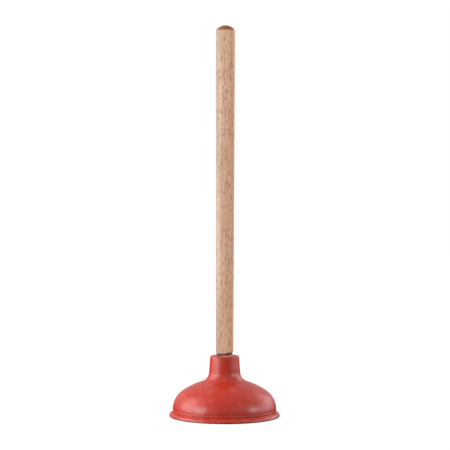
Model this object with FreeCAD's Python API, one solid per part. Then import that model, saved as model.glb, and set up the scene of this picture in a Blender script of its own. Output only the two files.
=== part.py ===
import FreeCAD
import Part
import math
import os

# Sink plunger: a turned wooden handle screwed into a moulded rubber cup.
#
# Millimetres. +Z runs up the handle. The origin is the middle of the lip's underside,
# on the surface that the cup stands on.
#
# The cup is one moulding. It is written as three solids that meet face to face,
# because the lip stays put, the dome gives, and the collar travels with the handle.
# The handle is one turned piece, with its thread cut into its own foot.

# Lip: the thick bead round the mouth that seals on the drain
LIP_OVERHANG = 4.1
LIP_HEIGHT = 5.0
LIP_EDGE_ROUND = 1.0
LIP_MOUTH_CHAMFER = 1.2

# Dome: an upright skirt, a tight shoulder and a flatter crown, all of one thickness
SKIRT_RADIUS = 60.9
SKIRT_HEIGHT = 3.5
DOME_RISE = 36.6
SHOULDER_RADIUS = 26.0
WALL = 4.0
FLEX_DROP = 3.4

# Collar: the stiff neck that grips the handle's foot
COLLAR_HEIGHT = 26.4
COLLAR_WALL = 6.8
COLLAR_DRAFT = math.radians(3.9)
COLLAR_EDGE_ROUND = 1.6
COLLAR_ROOT_FILLET = 12.8
SOCKET_WEB = 4.6
SOCKET_LEAD_IN = 0.8

# Handle: a slightly tapered round shank with a low domed top
HANDLE_LENGTH = 412.8
HANDLE_FOOT_RADIUS = 10.25
HANDLE_TAPER = 0.9
HANDLE_CAP_HEIGHT = 5.9
HANDLE_ARRIS_ROUND = 0.5
HANDLE_FOOT_CHAMFER = 1.8

# Thread on the handle's foot: right-handed and coarse, with a flat-bottomed groove.
# It runs out behind the handle, a little above the collar.
THREAD_PITCH = 4.5
THREAD_DEPTH = 1.7
THREAD_MOUTH = 3.0
THREAD_ROOT = 1.4
THREAD_SHOW = 4.2
THREAD_END_ANGLE = 90.0

# Clearance between the thread's crests and the socket, on the radius
SOCKET_CLEARANCE = 0.05

# Heights that follow from the sizes above
dome_foot = LIP_HEIGHT + SKIRT_HEIGHT
crown_top = dome_foot + DOME_RISE
flex_plane = crown_top - WALL - FLEX_DROP
socket_floor = crown_top - WALL + SOCKET_WEB
collar_top = crown_top + COLLAR_HEIGHT
handle_top = socket_floor + HANDLE_LENGTH
handle_shoulder = handle_top - HANDLE_CAP_HEIGHT
thread_end = collar_top + THREAD_SHOW
shank_foot_height = thread_end + THREAD_MOUTH / 2

# Radii that follow from the sizes above
lip_radius = SKIRT_RADIUS + LIP_OVERHANG
handle_top_radius = HANDLE_FOOT_RADIUS + HANDLE_TAPER
socket_radius = HANDLE_FOOT_RADIUS + SOCKET_CLEARANCE
collar_top_radius = socket_radius + COLLAR_WALL

# The crown's arc is tangent to the shoulder's arc and level on the axis
shoulder_reach = SKIRT_RADIUS - SHOULDER_RADIUS
crown_radius = (shoulder_reach**2 + DOME_RISE**2 - SHOULDER_RADIUS**2) / (
    2 * (DOME_RISE - SHOULDER_RADIUS)
)
crown_centre_z = crown_top - crown_radius
shoulder_angle = math.atan2(dome_foot - crown_centre_z, shoulder_reach)

AXIS = FreeCAD.Vector(0, 0, 1)
ORIGIN = FreeCAD.Vector(0, 0, 0)


def at(radius, height):
    """A point of a turned outline, drawn in the XZ plane."""
    return FreeCAD.Vector(radius, 0, height)


def polar(centre, radius, angle):
    """The point at an angle from the outward direction on a circle."""
    return centre + at(radius * math.cos(angle), radius * math.sin(angle))


def line(start, end):
    return Part.makeLine(start, end)


def arc(centre, radius, start_angle, end_angle):
    """A circular arc, from one angle to another."""
    middle_angle = (start_angle + end_angle) / 2
    ends_and_middle = [
        polar(centre, radius, angle) for angle in (start_angle, middle_angle, end_angle)
    ]
    return Part.Arc(*ends_and_middle).toShape()


def turned(edges):
    """The solid that a closed outline sweeps round the axis."""
    outline = Part.Wire(Part.__sortEdges__(edges))
    return Part.Face(outline).revolve(ORIGIN, AXIS, 360)


def crown_radius_at(height, inset):
    """The crown's radius at a height, on a surface a distance inside the outer one."""
    radius = crown_radius - inset
    return math.sqrt(radius**2 - (height - crown_centre_z) ** 2)


def crown_angle_at(height, inset):
    """The angle on the crown's arc at a height."""
    return math.atan2(height - crown_centre_z, crown_radius_at(height, inset))


def make_lip():
    """The bead: flat underneath, upright at its widest, then rolled in to the skirt."""
    mouth_radius = SKIRT_RADIUS - WALL
    bead_rise = LIP_HEIGHT - LIP_EDGE_ROUND
    bead_radius = (LIP_OVERHANG**2 + bead_rise**2) / (2 * LIP_OVERHANG)
    bead_centre = at(lip_radius - bead_radius, LIP_EDGE_ROUND)
    bead_end = math.atan2(bead_rise, bead_radius - LIP_OVERHANG)
    edge_centre = at(lip_radius - LIP_EDGE_ROUND, LIP_EDGE_ROUND)
    land_inner = at(mouth_radius + LIP_MOUTH_CHAMFER, 0)
    land_outer = at(lip_radius - LIP_EDGE_ROUND, 0)
    bead_top = at(SKIRT_RADIUS, LIP_HEIGHT)
    mouth_top = at(mouth_radius, LIP_HEIGHT)
    mouth_foot = at(mouth_radius, LIP_MOUTH_CHAMFER)
    return turned([
        line(land_inner, land_outer),
        arc(edge_centre, LIP_EDGE_ROUND, -math.pi / 2, 0),
        arc(bead_centre, bead_radius, 0, bead_end),
        line(bead_top, mouth_top),
        line(mouth_top, mouth_foot),
        line(mouth_foot, land_inner),
    ])


def dome_side(inset):
    """One face of the dome's wall, from the lip up to the flex plane."""
    side_radius = SKIRT_RADIUS - inset
    shoulder_centre = at(shoulder_reach, dome_foot)
    crown_centre = at(0, crown_centre_z)
    return [
        line(at(side_radius, LIP_HEIGHT), at(side_radius, dome_foot)),
        arc(shoulder_centre, SHOULDER_RADIUS - inset, 0, shoulder_angle),
        arc(
            crown_centre,
            crown_radius - inset,
            shoulder_angle,
            crown_angle_at(flex_plane, inset),
        ),
    ]


def make_dome():
    """The thin part of the cup, between the lip and the stiff root of the collar."""
    foot_ring = line(at(SKIRT_RADIUS, LIP_HEIGHT), at(SKIRT_RADIUS - WALL, LIP_HEIGHT))
    flex_ring = line(
        at(crown_radius_at(flex_plane, 0), flex_plane),
        at(crown_radius_at(flex_plane, WALL), flex_plane),
    )
    return turned([foot_ring, flex_ring] + dome_side(0) + dome_side(WALL))


def collar_outside():
    """The crown's edge, the root fillet and the drafted side up to the rounded top."""
    crown_centre = at(0, crown_centre_z)
    side_normal = at(math.cos(COLLAR_DRAFT), math.sin(COLLAR_DRAFT))
    down_side = at(math.sin(COLLAR_DRAFT), -math.cos(COLLAR_DRAFT))
    top_centre = at(collar_top_radius - COLLAR_EDGE_ROUND, collar_top - COLLAR_EDGE_ROUND)
    side_top = top_centre + side_normal * COLLAR_EDGE_ROUND

    # The fillet's centre lies off the side by its radius, and off the crown by the same
    start = side_top + side_normal * COLLAR_ROOT_FILLET - crown_centre
    reach = crown_radius + COLLAR_ROOT_FILLET
    along = start.dot(down_side)
    fall = -along - math.sqrt(along**2 - start.dot(start) + reach**2)
    fillet_centre = crown_centre + start + down_side * fall
    crown_end = math.atan2(fillet_centre.z - crown_centre_z, fillet_centre.x)

    return [
        arc(crown_centre, crown_radius, crown_angle_at(flex_plane, 0), crown_end),
        arc(
            fillet_centre,
            COLLAR_ROOT_FILLET,
            crown_end + math.pi,
            COLLAR_DRAFT + math.pi,
        ),
        line(fillet_centre - side_normal * COLLAR_ROOT_FILLET, side_top),
        arc(top_centre, COLLAR_EDGE_ROUND, COLLAR_DRAFT, math.pi / 2),
    ]


def make_collar():
    """The collar, its blind socket and the web that closes the cup beneath it."""
    crown_centre = at(0, crown_centre_z)
    flex_outer = at(crown_radius_at(flex_plane, 0), flex_plane)
    flex_inner = at(crown_radius_at(flex_plane, WALL), flex_plane)
    rim_outer = at(collar_top_radius - COLLAR_EDGE_ROUND, collar_top)
    rim_inner = at(socket_radius + SOCKET_LEAD_IN, collar_top)
    bore_top = at(socket_radius, collar_top - SOCKET_LEAD_IN)
    bore_foot = at(socket_radius, socket_floor)
    floor_centre = at(0, socket_floor)
    web_centre = at(0, crown_top - WALL)
    web_edge_angle = crown_angle_at(flex_plane, WALL)
    return turned([
        line(flex_outer, flex_inner),
        arc(crown_centre, crown_radius - WALL, web_edge_angle, math.pi / 2),
        line(web_centre, floor_centre),
        line(floor_centre, bore_foot),
        line(bore_foot, bore_top),
        line(bore_top, rim_inner),
        line(rim_inner, rim_outer),
    ] + collar_outside())


def make_handle_blank():
    """The turned shank before its thread is cut, standing on the socket's floor."""
    cap_radius = (handle_top_radius**2 + HANDLE_CAP_HEIGHT**2) / (2 * HANDLE_CAP_HEIGHT)
    cap_centre = at(0, handle_top - cap_radius)
    cap_edge_angle = math.acos(handle_top_radius / cap_radius)
    foot_centre = at(0, socket_floor)
    foot_edge = at(HANDLE_FOOT_RADIUS - HANDLE_FOOT_CHAMFER, socket_floor)
    foot_side = at(HANDLE_FOOT_RADIUS, socket_floor + HANDLE_FOOT_CHAMFER)
    shank_foot = at(HANDLE_FOOT_RADIUS, shank_foot_height)
    shank_top = at(handle_top_radius, handle_shoulder)
    blank = turned([
        line(foot_centre, foot_edge),
        line(foot_edge, foot_side),
        line(foot_side, shank_foot),
        line(shank_foot, shank_top),
        arc(cap_centre, cap_radius, cap_edge_angle, math.pi / 2),
        line(at(0, handle_top), foot_centre),
    ])
    arris = [
        edge
        for edge in blank.Edges
        if edge.Closed and abs(edge.BoundBox.Center.z - handle_shoulder) < 0.01
    ]
    return blank.makeFillet(HANDLE_ARRIS_ROUND, arris)


def make_thread_groove():
    """The helical groove, which starts below the foot and stops above the collar."""
    start_height = socket_floor - THREAD_PITCH
    climb = thread_end - start_height
    path = Part.makeHelix(THREAD_PITCH, climb, HANDLE_FOOT_RADIUS)
    outer = HANDLE_FOOT_RADIUS + THREAD_DEPTH / 2
    root = HANDLE_FOOT_RADIUS - THREAD_DEPTH
    flank = (THREAD_MOUTH - THREAD_ROOT) / (2 * THREAD_DEPTH)
    outer_half = THREAD_MOUTH / 2 + flank * THREAD_DEPTH / 2
    section = Part.makePolygon([
        at(root, -THREAD_ROOT / 2),
        at(outer, -outer_half),
        at(outer, outer_half),
        at(root, THREAD_ROOT / 2),
        at(root, -THREAD_ROOT / 2),
    ])
    groove = Part.Wire(path).makePipeShell([section], True, True)
    groove.translate(FreeCAD.Vector(0, 0, start_height))
    groove.rotate(ORIGIN, AXIS, THREAD_END_ANGLE - 360 * climb / THREAD_PITCH)
    return groove


def make_handle():
    """The wooden handle with its screw thread."""
    return make_handle_blank().cut(make_thread_groove())


nodes = {
    "cup_lip": make_lip(),
    "cup_dome": make_dome(),
    "cup_collar": make_collar(),
    "handle": make_handle(),
}

os.makedirs("parts", exist_ok=True)
for name, shape in nodes.items():
    shape.exportStep("parts/" + name + ".step")
    print(name, "valid", shape.isValid(), "solids", len(shape.Solids), shape.BoundBox)
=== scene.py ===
import logging
import math
from dataclasses import dataclass, field
from enum import Enum

import bpy
import numpy as np
from mathutils import Matrix, Vector


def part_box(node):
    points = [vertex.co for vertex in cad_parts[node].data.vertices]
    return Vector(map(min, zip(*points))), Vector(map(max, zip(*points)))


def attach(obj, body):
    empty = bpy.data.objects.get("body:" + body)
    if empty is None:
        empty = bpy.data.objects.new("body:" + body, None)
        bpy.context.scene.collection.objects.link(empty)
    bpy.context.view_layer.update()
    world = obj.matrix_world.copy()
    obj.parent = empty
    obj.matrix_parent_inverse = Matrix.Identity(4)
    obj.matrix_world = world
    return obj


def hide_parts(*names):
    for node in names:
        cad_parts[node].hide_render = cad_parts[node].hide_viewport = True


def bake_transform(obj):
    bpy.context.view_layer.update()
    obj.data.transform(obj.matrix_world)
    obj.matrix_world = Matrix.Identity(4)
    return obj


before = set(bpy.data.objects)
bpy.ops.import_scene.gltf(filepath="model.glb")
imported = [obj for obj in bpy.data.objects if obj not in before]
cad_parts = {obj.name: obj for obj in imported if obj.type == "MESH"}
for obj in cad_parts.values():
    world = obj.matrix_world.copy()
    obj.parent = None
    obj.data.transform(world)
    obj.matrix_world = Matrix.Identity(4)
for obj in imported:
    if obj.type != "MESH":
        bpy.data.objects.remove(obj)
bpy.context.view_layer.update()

MM = 0.001
WHITE = "#ffffff"
log = logging.getLogger("sink_plunger")


# ---------------------------------------------------------------- shared helpers


def linear(colour: str) -> tuple[float, float, float, float]:
    """Turn an sRGB hex colour into linear light, with full opacity.

    Args:
        colour: Six hex digits, with or without a leading hash.

    Returns:
        Red, green, blue and alpha, each from 0 to 1.
    """
    digits = colour.lstrip("#")
    encoded = np.array([int(digits[i : i + 2], 16) for i in (0, 2, 4)]) / 255
    low = encoded / 12.92
    high = ((encoded + 0.055) / 1.055) ** 2.4
    red, green, blue = np.where(encoded <= 0.04045, low, high)
    return float(red), float(green), float(blue), 1.0


def per_metre(size_mm: float) -> float:
    """The texture scale at which one feature is about size_mm across."""
    return 1.0 / (size_mm * MM)


def add_node(
    tree: bpy.types.NodeTree, kind: str, inputs: dict | None = None, **settings: object
) -> bpy.types.Node:
    """Add one shader node, set it up and feed its inputs.

    Args:
        tree: The node tree that the node joins.
        kind: Blender's type name of the node.
        inputs: Input name or number, to a constant or to the socket that feeds it.
        settings: The node's own properties.

    Returns:
        The new node.
    """
    made = tree.nodes.new(kind)
    for name, value in settings.items():
        setattr(made, name, value)
    for key, value in (inputs or {}).items():
        if isinstance(value, bpy.types.NodeSocket):
            tree.links.new(value, made.inputs[key])
        else:
            made.inputs[key].default_value = value
    return made


def set_ramp(
    ramp: bpy.types.Node, positions: tuple[float, ...], colours: tuple[str, ...]
) -> None:
    """Give a colour ramp its stops.

    Args:
        ramp: The ramp node.
        positions: Where each stop lies, from low to high.
        colours: The hex colour of each stop.
    """
    elements = ramp.color_ramp.elements
    while len(elements) < len(positions):
        elements.new(1.0)
    for element, position, colour in zip(elements, positions, colours):
        element.position = position
        element.color = linear(colour)


def new_material(name: str) -> tuple[bpy.types.Material, bpy.types.Node]:
    """Make an empty node material.

    Args:
        name: What the real material is and how it was finished.

    Returns:
        The material and its Principled shader, wired to the output.
    """
    material = bpy.data.materials.new(name)
    material.use_nodes = True
    tree = material.node_tree
    tree.nodes.clear()
    shader = add_node(tree, "ShaderNodeBsdfPrincipled")
    add_node(tree, "ShaderNodeOutputMaterial", {"Surface": shader.outputs["BSDF"]})
    return material, shader


# ------------------------------------------------------------ turned outlines


class Wall(Enum):
    """Which face of the cup's rubber an outline runs along."""

    OUTSIDE = 0
    INSIDE = 1


@dataclass
class Outline:
    """An outline in the plane of radius and height, gathered stretch by stretch.

    Attributes:
        step: Spacing of the even samples that the outline is worked on with.
        same_place: Legs shorter than this are left out.
        bell_widths: How many of its widths the rounding bell curve reaches each way.
        sharpest: Turning rate, in radians for each millimetre, past which rows no longer crowd.
        stretches: Arrays of (radius, height) points, each following the last.
    """

    step: float = 0.05 * MM
    same_place: float = 1e-6 * MM
    bell_widths: float = 4.0
    sharpest: float = 3.0
    stretches: list[np.ndarray] = field(default_factory=list)

    def to(self, radius: float, height: float) -> "Outline":
        """Run straight to a point, and return this outline."""
        self.stretches.append(np.array([[radius, height]]))
        return self

    def arc(
        self, centre: tuple[float, float], radius: float, start: float, end: float
    ) -> "Outline":
        """Follow a circle's arc: the centre plus the radius turned from start to end.

        Args:
            centre: The circle's (radius, height).
            radius: The circle's radius.
            start: First angle from the outward direction, in radians.
            end: Last angle.

        Returns:
            This outline.
        """
        samples = max(8, int(abs(end - start) * radius / self.step))
        turn = np.linspace(start, end, samples)
        self.stretches.append(
            np.column_stack([
                centre[0] + radius * np.cos(turn),
                centre[1] + radius * np.sin(turn),
            ])
        )
        return self

    def rows(self, count: int, soften: float, crowding: float) -> np.ndarray:
        """Sample the outline, with its corners rounded and rows crowded where it turns.

        The outline is spaced evenly, averaged with a bell curve, and then sampled so
        that rows are spread by length times one plus crowding times the turning rate.

        Args:
            count: How many rows to return.
            soften: Width of the bell curve, which rounds each sharp corner.
            crowding: Extra rows for each radian that the outline turns in a millimetre.

        Returns:
            An array of (radius, height), one row each, the two ends on the axis.
        """
        path = np.concatenate(self.stretches)
        leg = np.hypot(*np.diff(path, axis=0).T)
        keep = np.concatenate([[True], leg > self.same_place])
        path = path[keep]
        travelled = np.concatenate([[0.0], np.cumsum(leg[keep[1:]])])
        even = np.arange(0.0, travelled[-1], self.step)
        path = np.column_stack([np.interp(even, travelled, axis) for axis in path.T])

        reach = int(self.bell_widths * soften / self.step)
        offsets = np.arange(-reach, reach + 1) * self.step
        bell = np.exp(-0.5 * (offsets / soften) ** 2)
        bell /= bell.sum()
        mirror = np.array([-1.0, 1.0])
        padded = np.concatenate([
            path[reach:0:-1] * mirror, path, path[-2 : -reach - 2 : -1] * mirror
        ])
        path = np.column_stack([np.convolve(axis, bell, "valid") for axis in padded.T])

        heading = np.unwrap(np.arctan2(*np.gradient(path, axis=0).T[::-1]))
        turning = np.abs(np.gradient(heading)) / (self.step / MM)
        spread = np.cumsum(1.0 + crowding * np.minimum(turning, self.sharpest))
        wanted = np.linspace(spread[0], spread[-1], count)
        rows = np.column_stack([np.interp(wanted, spread, axis) for axis in path.T])
        rows[[0, -1], 0] = 0.0
        return rows


def spin_rows(
    rows: np.ndarray, columns: int
) -> tuple[np.ndarray, np.ndarray, np.ndarray]:
    """Carry an outline's rows round the axis, in evenly spaced columns.

    Args:
        rows: The (radius, height) of each row.
        columns: How many columns one turn has.

    Returns:
        The radius and the height at each (row, column), and the angle of each column.
    """
    radius = np.repeat(rows[:, :1], columns, axis=1)
    height = np.repeat(rows[:, 1:], columns, axis=1)
    angle = np.arange(columns) * (2 * math.pi / columns)
    return radius, height, angle


def turned_surface(
    name: str, radius: np.ndarray, height: np.ndarray, angle: np.ndarray
) -> bpy.types.Object:
    """Make the closed mesh of a turned surface whose first and last rows are poles.

    A point is (radius cos angle, radius sin angle, height). The grid closes round the
    axis, each pole is one vertex with a fan of triangles, and the rest is quads.

    Args:
        name: The piece's name.
        radius: Radius at each (row, column), with the outside walked upwards.
        height: Height at each (row, column).
        angle: Angle of each column, over one turn with the last left out.

    Returns:
        The new object, at the origin, unturned and unscaled, and smoothly shaded.
    """
    rows, columns = radius.shape
    grid = np.stack([radius * np.cos(angle), radius * np.sin(angle), height], axis=-1)
    first, last = grid[0].mean(axis=0), grid[-1].mean(axis=0)
    vertices = np.concatenate([first[None], grid[1:-1].reshape(-1, 3), last[None]])

    ring = np.arange(columns)
    after = np.roll(ring, -1)
    low = 1 + columns * np.arange(rows - 3)[:, None]
    quads = np.stack(
        [low + ring, low + after, low + columns + after, low + columns + ring], axis=-1
    ).reshape(-1, 4)
    end = 1 + columns * (rows - 3)
    final = np.full(columns, len(vertices) - 1)
    fans = np.concatenate([
        np.column_stack([np.zeros(columns, int), 1 + after, 1 + ring]),
        np.column_stack([final, end + ring, end + after]),
    ])

    corners = np.concatenate([quads.ravel(), fans.ravel()]).astype(np.int32)
    sizes = np.repeat([4, 3], [len(quads), len(fans)])
    starts = np.concatenate([[0], np.cumsum(sizes)[:-1]]).astype(np.int32)
    mesh = bpy.data.meshes.new(name)
    mesh.vertices.add(len(vertices))
    mesh.vertices.foreach_set("co", vertices.astype(np.float32).ravel())
    mesh.loops.add(len(corners))
    mesh.loops.foreach_set("vertex_index", corners)
    mesh.polygons.add(len(sizes))
    mesh.polygons.foreach_set("loop_start", starts)
    mesh.polygons.foreach_set("use_smooth", np.ones(len(sizes), bool))
    mesh.update(calc_edges=True)
    mesh.validate()
    piece = bpy.data.objects.new(name, mesh)
    bpy.context.scene.collection.objects.link(piece)
    return piece


def smooth_step(value: np.ndarray, low: float, high: float) -> np.ndarray:
    """Rise from 0 at low to 1 at high, level at both ends."""
    share = np.clip((value - low) / (high - low), 0.0, 1.0)
    return share * share * (3.0 - 2.0 * share)


# ------------------------------------------------------------------ finishes


@dataclass(frozen=True)
class Relief:
    """How far a pattern stands out from a surface.

    Attributes:
        strength: Share of the slope that shows.
        depth: Height of the pattern's relief.
    """

    strength: float
    depth: float


@dataclass(frozen=True)
class MouldedRubber:
    """Red rubber, compression moulded against a lightly blasted steel mould.

    To the eye it is a satin red with broad, soft highlights that the moulding's slight
    unevenness breaks up. A faint dry bloom pales it in patches and the lip is scuffed.
    Its lowest edge is darkened by a painted contact shadow, and a fine parting line runs
    round the skirt just above the lip, its crest paled by a painted highlight line.
    """

    body: str = "#ae2007"
    filler: str = "#b92a12"
    bloom: str = "#cc5a4c"
    # Paler colour of the scuffs on the lip and of the painted highlight on the parting line's crest
    scuff_and_highlight: str = "#c98277"
    # Colour of the painted contact shadow on the lip's lowest edge
    painted_contact_shadow: str = "#6a0f08"
    cloud_mm: float = 28.0
    speck_mm: float = 1.6
    bloom_mm: float = 11.0
    scuff_mm: float = 2.2
    grain_mm: float = 0.9
    speck_share: float = 0.45
    bloom_share: float = 0.35
    scuff_share: float = 0.55
    scuff_top: float = 5.5 * MM
    # Strength and height of the painted contact shadow on the lip's edge
    contact_shadow_share: float = 0.9
    contact_shadow_top: float = 2.2 * MM
    parting_height: float = 7.5 * MM
    parting_half_width: float = 0.8 * MM
    # Share of the paler colour painted on the parting line's crest as a highlight line
    parting_highlight: float = 0.3
    sheen: tuple[float, float] = (0.33, 0.40)
    scuff_dryness: float = 0.3
    uneven: Relief = Relief(0.5, 0.5 * MM)
    grain: Relief = Relief(0.25, 0.05 * MM)
    parting: Relief = Relief(1.0, 0.4 * MM)
    ior: float = 1.52
    noise_detail: float = 3.0
    even_span: tuple[float, float] = (0.3, 0.7)
    speck_span: tuple[float, float] = (0.35, 0.65)
    bloom_span: tuple[float, float] = (0.5, 0.8)
    scuff_span: tuple[float, float] = (0.52, 0.7)

    def noise(
        self,
        tree: bpy.types.NodeTree,
        place: bpy.types.NodeSocket,
        size_mm: float,
        span: tuple[float, float],
    ) -> bpy.types.NodeSocket:
        """Make noise, stretched so that it runs from 0 to 1 over a span of its raw values.

        Args:
            tree: The material's node tree.
            place: Where each point lies on the unflexed cup.
            size_mm: Width of one feature.
            span: Raw values that become 0 and 1.

        Returns:
            The noise's value.
        """
        raw = add_node(
            tree,
            "ShaderNodeTexNoise",
            {"Vector": place, "Scale": per_metre(size_mm), "Detail": self.noise_detail},
        )
        spread = add_node(
            tree,
            "ShaderNodeMapRange",
            {"Value": raw.outputs["Fac"], "From Min": span[0], "From Max": span[1]},
        )
        return spread.outputs["Result"]

    def parting_ridge(
        self, tree: bpy.types.NodeTree, height: bpy.types.NodeSocket
    ) -> bpy.types.NodeSocket:
        """Work out the parting line, which is 1 on its crest and 0 beyond its half width.

        Args:
            tree: The material's node tree.
            height: Height above the surface that the cup stands on.

        Returns:
            The share of the crest.
        """
        off_line = add_node(
            tree, "ShaderNodeMath", {0: height, 1: self.parting_height}, operation="SUBTRACT"
        )
        away = add_node(tree, "ShaderNodeMath", {0: off_line.outputs[0]}, operation="ABSOLUTE")
        ridge = add_node(
            tree,
            "ShaderNodeMapRange",
            {
                "Value": away.outputs[0],
                "From Max": self.parting_half_width,
                "To Min": 1.0,
                "To Max": 0.0,
            },
            interpolation_type="SMOOTHSTEP",
        )
        return ridge.outputs["Result"]

    def material(self) -> bpy.types.Material:
        """Build the rubber's material.

        Returns:
            The material, whose patterns lie on the unflexed cup.
        """
        material, shader = new_material("moulded_red_rubber")
        tree = material.node_tree
        place = add_node(tree, "ShaderNodeAttribute", attribute_name="unflexed").outputs["Vector"]
        height = add_node(tree, "ShaderNodeSeparateXYZ", {"Vector": place}).outputs["Z"]
        cloud = self.noise(tree, place, self.cloud_mm, self.even_span)
        # Specks of filler are far finer in the real mix, and are drawn as coarse as shows
        speck = self.noise(tree, place, self.speck_mm, self.speck_span)
        mixed = add_node(
            tree, "ShaderNodeMix", {"Factor": self.speck_share, "A": cloud, "B": speck}
        )
        tint = add_node(
            tree,
            "ShaderNodeMix",
            {0: mixed.outputs["Result"], 6: linear(self.body), 7: linear(self.filler)},
            data_type="RGBA",
        )

        # Dry bloom, in patches
        patch = self.noise(tree, place, self.bloom_mm, self.bloom_span)
        patch_share = add_node(
            tree, "ShaderNodeMath", {0: patch, 1: self.bloom_share}, operation="MULTIPLY"
        )
        bloomed = add_node(
            tree,
            "ShaderNodeMix",
            {0: patch_share.outputs[0], 6: tint.outputs[2], 7: linear(self.bloom)},
            data_type="RGBA",
        )

        # Scuffs on the lip, and a painted highlight line on the parting line's crest
        low_down = add_node(
            tree,
            "ShaderNodeMapRange",
            {"Value": height, "From Max": self.scuff_top, "To Min": self.scuff_share, "To Max": 0.0},
        )
        marks = self.noise(tree, place, self.scuff_mm, self.scuff_span)
        spots = add_node(
            tree,
            "ShaderNodeMath",
            {0: low_down.outputs["Result"], 1: marks},
            operation="MULTIPLY",
        )
        ridge = self.parting_ridge(tree, height)
        wear_and_highlight = add_node(
            tree,
            "ShaderNodeMath",
            {0: ridge, 1: self.parting_highlight, 2: spots.outputs[0]},
            operation="MULTIPLY_ADD",
        )
        scuffed_and_highlit = add_node(
            tree,
            "ShaderNodeMix",
            {0: wear_and_highlight.outputs[0], 6: bloomed.outputs[2], 7: linear(self.scuff_and_highlight)},
            data_type="RGBA",
        )

        # Painted contact shadow, darkening the lip's lowest edge
        contact_shadow_fade = add_node(
            tree,
            "ShaderNodeMapRange",
            {"Value": height, "From Max": self.contact_shadow_top, "To Min": self.contact_shadow_share, "To Max": 0.0},
        )
        contact_shadowed = add_node(
            tree,
            "ShaderNodeMix",
            {0: contact_shadow_fade.outputs["Result"], 6: scuffed_and_highlit.outputs[2], 7: linear(self.painted_contact_shadow)},
            data_type="RGBA",
        )
        tree.links.new(contact_shadowed.outputs[2], shader.inputs["Base Color"])

        # Sheen: satin, a little uneven, and drier where it is scuffed
        rough = add_node(
            tree,
            "ShaderNodeMapRange",
            {"Value": cloud, "To Min": self.sheen[0], "To Max": self.sheen[1]},
        )
        dry = add_node(
            tree,
            "ShaderNodeMath",
            {0: wear_and_highlight.outputs[0], 1: self.scuff_dryness, 2: rough.outputs["Result"]},
            operation="MULTIPLY_ADD",
        )
        tree.links.new(dry.outputs[0], shader.inputs["Roughness"])

        # Relief: uneven moulding, the parting line, and between them the blasted grain,
        # which is really about 0.1 mm across and is drawn as coarse as shows
        blasted = self.noise(tree, place, self.grain_mm, self.even_span)
        carried = {}
        for relief, pattern in ((self.uneven, cloud), (self.grain, blasted), (self.parting, ridge)):
            raised = add_node(
                tree,
                "ShaderNodeBump",
                {"Strength": relief.strength, "Distance": relief.depth, "Height": pattern} | carried,
            )
            carried = {"Normal": raised.outputs["Normal"]}
        tree.links.new(carried["Normal"], shader.inputs["Normal"])
        shader.inputs["IOR"].default_value = self.ior
        return material


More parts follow.
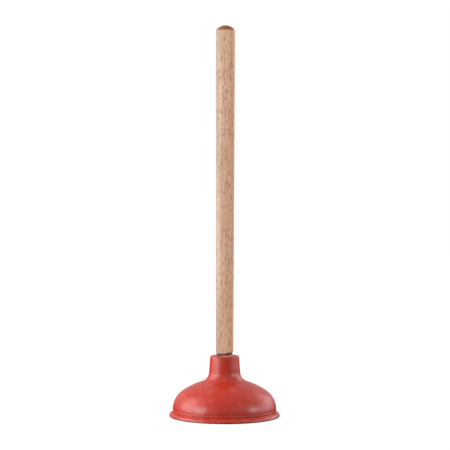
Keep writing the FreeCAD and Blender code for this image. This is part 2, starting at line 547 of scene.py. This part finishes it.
@dataclass(frozen=True)
class SandedHardwood:
    """Pinkish open-pored hardwood, turned, sanded and left bare.

    To the eye it is pale tan, with long pinkish streaks, short dark flecks along the stick,
    a dry low sheen, and end grain that drinks light and looks brown. Across the stick its
    colour is painted greyer towards -X as a painted sheen, lighter in the middle as painted
    light, and darker and more orange towards +X as painted shade.
    """

    # Colours of the painted sheen (-X side), painted light (middle) and painted shade (+X side)
    # across the stick
    painted_sheen_side: str = "#bda896"
    middle: str = "#ffdfc2"
    painted_shade_side: str = "#fac69c"
    layer: str = "#ecd3c0"
    fibre: str = "#dcc6b6"
    fleck: str = "#a15a37"
    end_grain: str = "#b67b5a"
    end_pore: str = "#7d4f37"
    # Colour of the painted shade and dirt in the thread's groove
    groove_dirt_and_shade: str = "#5c3c29"
    half_width: float = 11.0 * MM
    drift_mm: float = 9.0
    drift_share: float = 0.35
    heart_offset: tuple[float, float, float] = (55.0 * MM, 38.0 * MM, 0.0)
    grain_lean: tuple[float, float, float] = (0.008, 0.012, 0.0)
    layer_squash: float = 0.05
    layer_mm: float = 9.24
    layer_waver: float = 6.0
    layer_ripple: float = 1.4
    layer_fray: float = 0.6
    layer_share: float = 0.5
    fibre_mm: float = 1.3
    fibre_squash: float = 0.035
    fibre_share: float = 0.5
    fleck_mm: float = 1.5
    fleck_squash: float = 0.27
    dryness: tuple[float, float] = (0.72, 0.50)
    shine: tuple[float, float] = (0.4, 0.1)
    relief: Relief = Relief(0.35, 0.1 * MM)
    ior: float = 1.5
    fibre_scatter: float = 0.7
    noise_detail: float = 3.0
    # Where the painted sheen, light and shade stops lie across the stick
    across_shading_stops: tuple[float, float, float] = (0.15, 0.5, 0.85)
    layer_stops: tuple[float, float] = (0.25, 1.0)
    fibre_stops: tuple[float, float] = (0.34, 0.64)
    fleck_stops: tuple[float, float] = (0.5, 0.7)
    no_fleck: str = "#000000"
    full_fleck: str = "#d0d0d0"

    def growth_and_shading(self, tree: bpy.types.NodeTree, place: bpy.types.NodeSocket) -> bpy.types.Node:
        """Colour the growth layers, which lie across the stick and run along it, over painted light
        and shade that change across the stick.

        Args:
            tree: The material's node tree.
            place: Object coordinates.

        Returns:
            The node whose third output is the colour.
        """
        plank = add_node(
            tree,
            "ShaderNodeMapping",
            {
                "Vector": place,
                "Location": self.heart_offset,
                "Rotation": self.grain_lean,
                "Scale": (1.0, 1.0, self.layer_squash),
            },
        ).outputs["Vector"]
        # Painted sheen, light and shade across the stick, shifted by random tone: greyer towards -X,
        # lightest in the middle, darker and more orange towards +X
        across = add_node(tree, "ShaderNodeSeparateXYZ", {"Vector": place}).outputs["X"]
        depth = add_node(
            tree,
            "ShaderNodeMapRange",
            {"Value": across, "From Min": -self.half_width, "From Max": self.half_width},
        )
        drift = add_node(
            tree, "ShaderNodeTexNoise", {"Vector": plank, "Scale": per_metre(self.drift_mm)}
        )
        shifted = add_node(
            tree,
            "ShaderNodeMix",
            {"Factor": self.drift_share, "A": depth.outputs["Result"], "B": drift.outputs["Fac"]},
        )
        across_shading = add_node(tree, "ShaderNodeValToRGB", {"Fac": shifted.outputs["Result"]})
        set_ramp(across_shading, self.across_shading_stops, (self.painted_sheen_side, self.middle, self.painted_shade_side))
        # At a scale of 1 the rings repeat each tenth of pi. The real layers are a few
        # millimetres thick, and are drawn wider so that they show
        layers = add_node(
            tree,
            "ShaderNodeTexWave",
            {
                "Vector": plank,
                "Scale": math.pi / 10 * per_metre(self.layer_mm),
                "Distortion": self.layer_waver,
                "Detail": self.noise_detail,
                "Detail Scale": self.layer_ripple,
                "Detail Roughness": self.layer_fray,
            },
            wave_type="RINGS",
            rings_direction="Z",
        )
        tint = add_node(tree, "ShaderNodeValToRGB", {"Fac": layers.outputs["Fac"]})
        set_ramp(tint, self.layer_stops, (WHITE, self.layer))
        return add_node(
            tree,
            "ShaderNodeMix",
            {0: self.layer_share, 6: across_shading.outputs["Color"], 7: tint.outputs["Color"]},
            data_type="RGBA",
            blend_type="MULTIPLY",
        )

    def along_grain(
        self, tree: bpy.types.NodeTree, place: bpy.types.NodeSocket, size_mm: float, squash: float
    ) -> bpy.types.NodeSocket:
        """Make noise that is drawn out along the stick.

        Args:
            tree: The material's node tree.
            place: Object coordinates.
            size_mm: Width of one feature.
            squash: Its width as a share of its length.

        Returns:
            The noise's value.
        """
        drawn = add_node(
            tree, "ShaderNodeMapping", {"Vector": place, "Scale": (1.0, 1.0, squash)}
        )
        noise = add_node(
            tree,
            "ShaderNodeTexNoise",
            {
                "Vector": drawn.outputs["Vector"],
                "Scale": per_metre(size_mm),
                "Detail": self.noise_detail,
            },
        )
        return noise.outputs["Fac"]

    def material(self) -> bpy.types.Material:
        """Build the wood's material.

        Returns:
            The material, which reads the handle's end_grain and groove attributes.
        """
        material, shader = new_material("sanded_bare_hardwood")
        tree = material.node_tree
        place = add_node(tree, "ShaderNodeTexCoord").outputs["Object"]
        grown_and_shaded = self.growth_and_shading(tree, place)

        # Fibres, really 0.05 mm wide, are drawn about a millimetre wide so that they show
        fibre = self.along_grain(tree, place, self.fibre_mm, self.fibre_squash)
        fibre_tint = add_node(tree, "ShaderNodeValToRGB", {"Fac": fibre})
        set_ramp(fibre_tint, self.fibre_stops, (self.fibre, WHITE))
        fibred = add_node(
            tree,
            "ShaderNodeMix",
            {0: self.fibre_share, 6: grown_and_shaded.outputs[2], 7: fibre_tint.outputs["Color"]},
            data_type="RGBA",
            blend_type="MULTIPLY",
        )

        # Flecks and pores are short dark dashes
        dash = self.along_grain(tree, place, self.fleck_mm, self.fleck_squash)
        dash_mask = add_node(tree, "ShaderNodeValToRGB", {"Fac": dash})
        set_ramp(dash_mask, self.fleck_stops, (self.no_fleck, self.full_fleck))
        flecked = add_node(
            tree,
            "ShaderNodeMix",
            {0: dash_mask.outputs["Color"], 6: fibred.outputs[2], 7: linear(self.fleck)},
            data_type="RGBA",
        )

        # The domed top and the foot show end grain
        end = add_node(tree, "ShaderNodeAttribute", attribute_name="end_grain")
        cells = add_node(
            tree,
            "ShaderNodeMix",
            {0: fibre, 6: linear(self.end_pore), 7: linear(self.end_grain)},
            data_type="RGBA",
        )
        colour = add_node(
            tree,
            "ShaderNodeMix",
            {0: end.outputs["Fac"], 6: flecked.outputs[2], 7: cells.outputs[2]},
            data_type="RGBA",
        )

        # Painted shade, with dirt, darkens the thread's groove by its depth
        groove = add_node(tree, "ShaderNodeAttribute", attribute_name="groove")
        groove_darkened = add_node(
            tree,
            "ShaderNodeMix",
            {0: groove.outputs["Fac"], 6: colour.outputs[2], 7: linear(self.groove_dirt_and_shade)},
            data_type="RGBA",
        )
        tree.links.new(groove_darkened.outputs[2], shader.inputs["Base Color"])

        # Sheen: dry fibres, and end grain that hardly shines
        dryness = add_node(
            tree,
            "ShaderNodeMapRange",
            {"Value": fibre, "To Min": self.dryness[0], "To Max": self.dryness[1]},
        )
        tree.links.new(dryness.outputs["Result"], shader.inputs["Roughness"])
        shine = add_node(
            tree,
            "ShaderNodeMapRange",
            {"Value": end.outputs["Fac"], "To Min": self.shine[0], "To Max": self.shine[1]},
        )
        tree.links.new(shine.outputs["Result"], shader.inputs["Specular IOR Level"])
        bump = add_node(
            tree,
            "ShaderNodeBump",
            {"Strength": self.relief.strength, "Distance": self.relief.depth, "Height": fibre},
        )
        tree.links.new(bump.outputs["Normal"], shader.inputs["Normal"])
        shader.inputs["IOR"].default_value = self.ior
        shader.inputs["Diffuse Roughness"].default_value = self.fibre_scatter
        return material


# ---------------------------------------------------------------- sub-assemblies


@dataclass
class RubberCup:
    """The moulded cup: lip, skirt, dome, crown, and the collar with its blind socket.

    Heights and outer radii come from the frame. The other sizes are the moulding's own.
    """

    finish: MouldedRubber
    wall: float = 4.0 * MM
    lip_edge_round: float = 1.0 * MM
    lip_mouth_chamfer: float = 1.2 * MM
    skirt_height: float = 3.5 * MM
    dome_rise: float = 36.6 * MM
    shoulder_radius: float = 26.0 * MM
    root_fillet: float = 12.8 * MM
    collar_wall: float = 6.8 * MM
    collar_draft: float = math.radians(3.9)
    collar_edge_round: float = 1.6 * MM
    socket_radius: float = 10.3 * MM
    socket_web: float = 4.6 * MM
    socket_lead_in: float = 0.8 * MM
    corner_round: float = 0.22 * MM
    row_crowding: float = 6.0
    still_lip: float = 1.0 * MM
    still_web: float = 0.5 * MM
    rows: int = 380
    columns: int = 240

    def __post_init__(self) -> None:
        """Read the cup's overall places from the frame, and work out its dome's arcs."""
        self.lip_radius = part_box("cup_lip")[1].x
        self.lip_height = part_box("cup_lip")[1].z
        self.skirt_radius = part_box("cup_dome")[1].x
        self.collar_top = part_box("cup_collar")[1].z
        self.dome_foot = self.lip_height + self.skirt_height
        self.crown_top = self.dome_foot + self.dome_rise
        self.socket_floor = self.crown_top - self.wall + self.socket_web
        self.shoulder_reach = self.skirt_radius - self.shoulder_radius
        self.crown_radius = (
            self.shoulder_reach**2 + self.dome_rise**2 - self.shoulder_radius**2
        ) / (2 * (self.dome_rise - self.shoulder_radius))
        self.crown_centre = self.crown_top - self.crown_radius
        self.shoulder_angle = math.atan2(
            self.dome_foot - self.crown_centre, self.shoulder_reach
        )

    def trace_dome(self, outline: Outline, wall: Wall, crown_end: float) -> None:
        """Add the shoulder's and the crown's arcs, upwards outside and downwards inside.

        Args:
            outline: The outline to add to.
            wall: The face of the rubber that is traced.
            crown_end: Angle at which the crown's arc meets what is above it.
        """
        inset = self.wall * wall.value
        shoulder = (self.shoulder_reach, self.dome_foot)
        crown = (0.0, self.crown_centre)
        if wall is Wall.OUTSIDE:
            outline.arc(shoulder, self.shoulder_radius, 0.0, self.shoulder_angle)
            outline.arc(crown, self.crown_radius, self.shoulder_angle, crown_end)
        else:
            outline.arc(crown, self.crown_radius - inset, crown_end, self.shoulder_angle)
            outline.arc(
                shoulder, self.shoulder_radius - inset, self.shoulder_angle, 0.0
            )

    def trace_lip(self, outline: Outline) -> None:
        """Add the mouth's chamfer, the flat sealing face and the rolled bead.

        Args:
            outline: The outline to add to.
        """
        mouth = self.skirt_radius - self.wall
        overhang = self.lip_radius - self.skirt_radius
        bead_rise = self.lip_height - self.lip_edge_round
        bead = (overhang**2 + bead_rise**2) / (2 * overhang)
        edge_centre = (self.lip_radius - self.lip_edge_round, self.lip_edge_round)
        outline.to(mouth, self.lip_mouth_chamfer)
        outline.to(mouth + self.lip_mouth_chamfer, 0.0)
        outline.arc(edge_centre, self.lip_edge_round, -math.pi / 2, 0.0)
        outline.arc(
            (self.lip_radius - bead, self.lip_edge_round),
            bead,
            0.0,
            math.atan2(bead_rise, bead - overhang),
        )

    def trace_collar(self, outline: Outline, top: np.ndarray, start: np.ndarray) -> None:
        """Add the root fillet, the drafted side, the rounded top and the socket.

        Args:
            outline: The outline to add to.
            top: Centre of the round on the collar's top edge.
            start: Centre of the root fillet.
        """
        normal = np.array([math.cos(self.collar_draft), math.sin(self.collar_draft)])
        crown_end = math.atan2(start[1] - self.crown_centre, start[0])
        outline.arc(
            tuple(start), self.root_fillet, crown_end + math.pi, self.collar_draft + math.pi
        )
        outline.to(*(top + normal * self.collar_edge_round))
        outline.arc(tuple(top), self.collar_edge_round, self.collar_draft, math.pi / 2)
        outline.to(self.socket_radius + self.socket_lead_in, self.collar_top)
        outline.to(self.socket_radius, self.collar_top - self.socket_lead_in)
        outline.to(self.socket_radius, self.socket_floor)
        outline.to(0.0, self.socket_floor)

    def fillet_centre(self, top: np.ndarray) -> np.ndarray:
        """Find the root fillet's centre, its radius off the side and off the crown.

        Args:
            top: Centre of the round on the collar's top edge.

        Returns:
            The centre's radius and height.
        """
        normal = np.array([math.cos(self.collar_draft), math.sin(self.collar_draft)])
        down = np.array([math.sin(self.collar_draft), -math.cos(self.collar_draft)])
        crown = np.array([0.0, self.crown_centre])
        start = top + normal * (self.collar_edge_round + self.root_fillet) - crown
        along = start @ down
        reach = self.crown_radius + self.root_fillet
        fall = -along - math.sqrt(along**2 - start @ start + reach**2)
        return crown + start + down * fall

    def build(self) -> bpy.types.Object:
        """Turn the cup's outline into one closed mesh, dress it and place it.

        Returns:
            The finished cup, which stretches between the lip and the collar.
        """
        top = np.array([
            self.socket_radius + self.collar_wall - self.collar_edge_round,
            self.collar_top - self.collar_edge_round,
        ])
        centre = self.fillet_centre(top)
        crown_end = math.atan2(centre[1] - self.crown_centre, centre[0])
        outline = Outline()
        self.trace_dome(outline, Wall.INSIDE, math.pi / 2)
        self.trace_lip(outline)
        self.trace_dome(outline, Wall.OUTSIDE, crown_end)
        self.trace_collar(outline, top, centre)
        rows = outline.rows(self.rows, self.corner_round, self.row_crowding)
        cup = turned_surface("rubber_cup", *spin_rows(rows, self.columns))
        self.mark_unflexed(cup)
        cup.data.materials.append(self.finish.material())
        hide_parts("cup_lip", "cup_dome", "cup_collar")
        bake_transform(cup)
        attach(cup, "cup_base")
        return cup

    def mark_unflexed(self, cup: bpy.types.Object) -> None:
        """Store where each vertex lies at rest, so that patterns stay on the rubber.

        Args:
            cup: The finished cup.
        """
        places = np.zeros(len(cup.data.vertices) * 3, np.float32)
        cup.data.vertices.foreach_get("co", places)
        attribute = cup.data.attributes.new("unflexed", "FLOAT_VECTOR", "POINT")
        attribute.data.foreach_set("vector", places)


@dataclass
class WoodHandle:
    """The turned stick, with its low domed top and the thread cut into its foot."""

    finish: SandedHardwood
    foot_radius: float = 10.25 * MM
    taper: float = 0.9 * MM
    cap_height: float = 5.9 * MM
    foot_chamfer: float = 1.8 * MM
    thread_pitch: float = 4.5 * MM
    thread_depth: float = 1.7 * MM
    thread_mouth: float = 3.0 * MM
    thread_root: float = 1.4 * MM
    thread_show: float = 4.2 * MM
    thread_end_turn: float = 0.25
    thread_run_out: float = 0.35
    # Share of the thread's depth past which the groove takes its full painted shade and dirt
    groove_shade_from: float = 0.6
    thread_end_grain: float = 0.6
    end_grain_facing: tuple[float, float] = (0.25, 0.7)
    corner_round: float = 0.3 * MM
    row_crowding: float = 6.0
    rows: int = 470
    columns: int = 192

    def __post_init__(self) -> None:
        """Read the stick's ends from the frame."""
        low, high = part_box("handle")
        self.foot = low.z
        self.top = high.z
        self.thread_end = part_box("cup_collar")[1].z + self.thread_show

    def outline(self) -> Outline:
        """Trace the stick from the middle of its foot to the middle of its top.

        Returns:
            The stick's outline, without its thread.
        """
        top_radius = self.foot_radius + self.taper
        cap = (top_radius**2 + self.cap_height**2) / (2 * self.cap_height)
        outline = Outline()
        outline.to(0.0, self.foot)
        outline.to(self.foot_radius - self.foot_chamfer, self.foot)
        outline.to(self.foot_radius, self.foot + self.foot_chamfer)
        outline.to(self.foot_radius, self.thread_end + self.thread_mouth / 2)
        outline.to(top_radius, self.top - self.cap_height)
        outline.arc((0.0, self.top - cap), cap, math.acos(top_radius / cap), math.pi / 2)
        return outline

    def groove_depth(self, height: np.ndarray, turn: np.ndarray) -> np.ndarray:
        """Work out how deep the thread's groove is at each point of the stick's side.

        The groove's middle climbs one pitch for each turn. Its depth is full on a flat
        root, falls along smooth flanks to nothing at the mouth's edge, and fades out
        over the last part of the thread's last turn.

        Args:
            height: Height of each point.
            turn: Angle of each point, in turns.

        Returns:
            The depth below the stick's side, in metres.
        """
        count = (height - self.thread_end) / self.thread_pitch - turn + self.thread_end_turn
        nearest = np.round(count)
        from_middle = np.abs(count - nearest) * self.thread_pitch
        depth = 1.0 - smooth_step(from_middle, self.thread_root / 2, self.thread_mouth / 2)
        travelled = nearest + turn - self.thread_end_turn
        return self.thread_depth * depth * smooth_step(-travelled, 0.0, self.thread_run_out)

    def build(self) -> bpy.types.Object:
        """Turn the stick, cut its thread, mark its end grain, dress it and place it.

        Returns:
            The finished handle, which rides its own body.
        """
        rows = self.outline().rows(self.rows, self.corner_round, self.row_crowding)
        radius, height, angle = spin_rows(rows, self.columns)
        groove = self.foot_radius - self.groove_depth(height, angle / (2 * math.pi))
        in_thread = height < self.thread_end + self.thread_mouth
        cut = np.where(in_thread, np.maximum(radius - groove, 0.0), 0.0)
        handle = turned_surface("wooden_handle", radius - cut, height, angle)
        self.mark_end_grain(handle)
        self.mark_groove(handle, cut)
        handle.data.materials.append(self.finish.material())
        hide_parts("handle")
        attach(handle, "handle")
        return handle

    def mark_groove(self, handle: bpy.types.Object, cut: np.ndarray) -> None:
        """Store how deep in the thread's groove each vertex lies, which sets its painted shade and
        dirt.

        Args:
            handle: The finished handle.
            cut: Depth cut at each (row, column).
        """
        share = smooth_step(cut, 0.0, self.groove_shade_from * self.thread_depth)
        values = np.concatenate([[0.0], share[1:-1].ravel(), [0.0]])
        attribute = handle.data.attributes.new("groove", "FLOAT", "POINT")
        attribute.data.foreach_set("value", values.astype(np.float32))

    def mark_end_grain(self, handle: bpy.types.Object) -> None:
        """Store how much each vertex faces along the stick, which bares end grain.

        Args:
            handle: The finished handle.
        """
        count = len(handle.data.vertices)
        normals = np.zeros(count * 3, np.float32)
        handle.data.vertices.foreach_get("normal", normals)
        places = np.zeros(count * 3, np.float32)
        handle.data.vertices.foreach_get("co", places)
        facing = np.abs(normals.reshape(-1, 3)[:, 2])
        outside_thread = places.reshape(-1, 3)[:, 2] > self.thread_end
        share = np.where(outside_thread, 1.0, self.thread_end_grain)
        bare = smooth_step(facing, *self.end_grain_facing) * share
        attribute = handle.data.attributes.new("end_grain", "FLOAT", "POINT")
        attribute.data.foreach_set("value", bare.astype(np.float32))


# -------------------------------------------------------------------- studio


@dataclass(frozen=True)
class SoftLight:
    """One square soft light that points at the plunger.

    Attributes:
        name: The light's name.
        place: Where its middle hangs.
        size: The length of its sides.
        power: Its power in watts.
        aim: The point that it faces.
    """

    name: str
    place: tuple[float, float, float]
    size: float
    power: float
    aim: tuple[float, float, float] = (0.0, 0.0, 0.15)

    def build(self) -> None:
        """Hang the light and turn it towards its aim."""
        lamp = bpy.data.lights.new(self.name, "AREA")
        lamp.shape = "SQUARE"
        lamp.size = self.size
        lamp.energy = self.power
        light = bpy.data.objects.new(self.name, lamp)
        bpy.context.scene.collection.objects.link(light)
        light.location = self.place
        towards = Vector(self.aim) - Vector(self.place)
        light.rotation_euler = towards.to_track_quat("-Z", "Y").to_euler()


@dataclass(frozen=True)
class ViewCamera:
    """A long lens a little above the middle of the stick, looking slightly down."""

    distance: float = 2.3
    aim_height: float = 0.2253
    tilt: float = math.radians(2.9)
    roll: float = math.radians(0.15)
    lens_mm: float = 157.0
    sensor_mm: float = 36.0

    def build(self) -> None:
        """Set the camera up as the scene's own."""
        data = bpy.data.cameras.new("view")
        data.lens = self.lens_mm
        data.sensor_width = self.sensor_mm
        camera = bpy.data.objects.new("view", data)
        bpy.context.scene.collection.objects.link(camera)
        back = Vector((0.0, -math.cos(self.tilt), math.sin(self.tilt)))
        camera.location = Vector((0.0, 0.0, self.aim_height)) + back * self.distance
        upright = (-back).to_track_quat("-Z", "Y").to_matrix().to_4x4()
        camera.rotation_euler = (upright @ Matrix.Rotation(self.roll, 4, "Z")).to_euler()
        bpy.context.scene.camera = camera


@dataclass
class Studio:
    """A floor that glows white to the eye, a white surround and soft lights."""

    floor_half: float = 3.0
    floor_height: float = -0.1 * MM
    floor_colour: str = "#343434"
    floor_roughness: float = 0.9
    floor_glow: float = 0.98
    shadow_reach: tuple[float, float] = (0.16, 0.60)
    surround: float = 0.66
    lights: tuple[SoftLight, ...] = (
        SoftLight("key", (-1.28, -0.76, 0.42), 0.8, 10.2),
        SoftLight("low_key", (-1.28, -0.76, 0.20), 0.6, 4.7),
        SoftLight("side", (-1.48, 0.10, 0.30), 0.6, 7.0),
        SoftLight("sky", (-1.28, 0.13, 0.90), 0.9, 9.5),
        SoftLight("window", (1.36, -0.55, 0.38), 0.16, 4.6),
        SoftLight("fill", (1.49, 0.15, 0.34), 0.6, 3.4),
        SoftLight("low_fill", (1.30, 0.75, 0.30), 0.6, 2.2),
        SoftLight("rim", (1.08, 0.90, 0.74), 0.8, 4.0),
    )

    def build_floor(self) -> None:
        """Lay the floor just under the cup's lip, with its edges lost in the white."""
        half, low = self.floor_half, self.floor_height
        corners = [(-half, -half, low), (half, -half, low), (half, half, low), (-half, half, low)]
        mesh = bpy.data.meshes.new("floor")
        mesh.from_pydata(corners, [], [(0, 1, 2, 3)])
        floor = bpy.data.objects.new("floor", mesh)
        bpy.context.scene.collection.objects.link(floor)
        material, shader = new_material("back_lit_white_sweep")
        tree = material.node_tree
        place = add_node(tree, "ShaderNodeTexCoord").outputs["Object"]
        away = add_node(tree, "ShaderNodeVectorMath", {0: place}, operation="LENGTH")
        near, far = self.shadow_reach
        glow = add_node(
            tree,
            "ShaderNodeMapRange",
            {
                "Value": away.outputs["Value"],
                "From Min": near,
                "From Max": far,
                "To Min": self.floor_glow,
            },
            interpolation_type="SMOOTHSTEP",
        )
        seen = add_node(tree, "ShaderNodeLightPath").outputs["Is Camera Ray"]
        strength = add_node(
            tree,
            "ShaderNodeMath",
            {0: glow.outputs["Result"], 1: seen},
            operation="MULTIPLY",
        )
        tree.links.new(strength.outputs[0], shader.inputs["Emission Strength"])
        shader.inputs["Emission Color"].default_value = linear(WHITE)
        # The cup sees only the floor's own dull grey, because the glow is for the eye alone
        shader.inputs["Base Color"].default_value = linear(self.floor_colour)
        shader.inputs["Roughness"].default_value = self.floor_roughness
        shader.inputs["Specular IOR Level"].default_value = 0.0
        mesh.materials.append(material)

    def build_surround(self) -> None:
        """Light everything gently from all round, against plain white."""
        world = bpy.data.worlds.new("surround")
        bpy.context.scene.world = world
        world.use_nodes = True
        tree = world.node_tree
        tree.nodes.clear()
        ray = add_node(tree, "ShaderNodeLightPath").outputs["Is Camera Ray"]
        strength = add_node(
            tree,
            "ShaderNodeMapRange",
            {"Value": ray, "To Min": self.surround, "To Max": 1.0},
        )
        glow = add_node(
            tree,
            "ShaderNodeBackground",
            {"Color": linear(WHITE), "Strength": strength.outputs["Result"]},
        )
        add_node(tree, "ShaderNodeOutputWorld", {"Surface": glow.outputs["Background"]})

    def build(self) -> None:
        """Set up the floor, the surround and the lights."""
        self.build_floor()
        self.build_surround()
        for light in self.lights:
            light.build()


def main() -> None:
    """Build the camera, the cup, the handle and the studio, and report each piece."""
    logging.basicConfig(level=logging.INFO, format="%(name)s: %(message)s")
    bpy.context.scene.view_settings.view_transform = "Standard"
    ViewCamera().build()
    for maker in (RubberCup(MouldedRubber()), WoodHandle(SandedHardwood())):
        piece = maker.build()
        log.info("%s: %d faces", piece.name, len(piece.data.polygons))
    Studio().build()


if __name__ == "__main__":
    main()
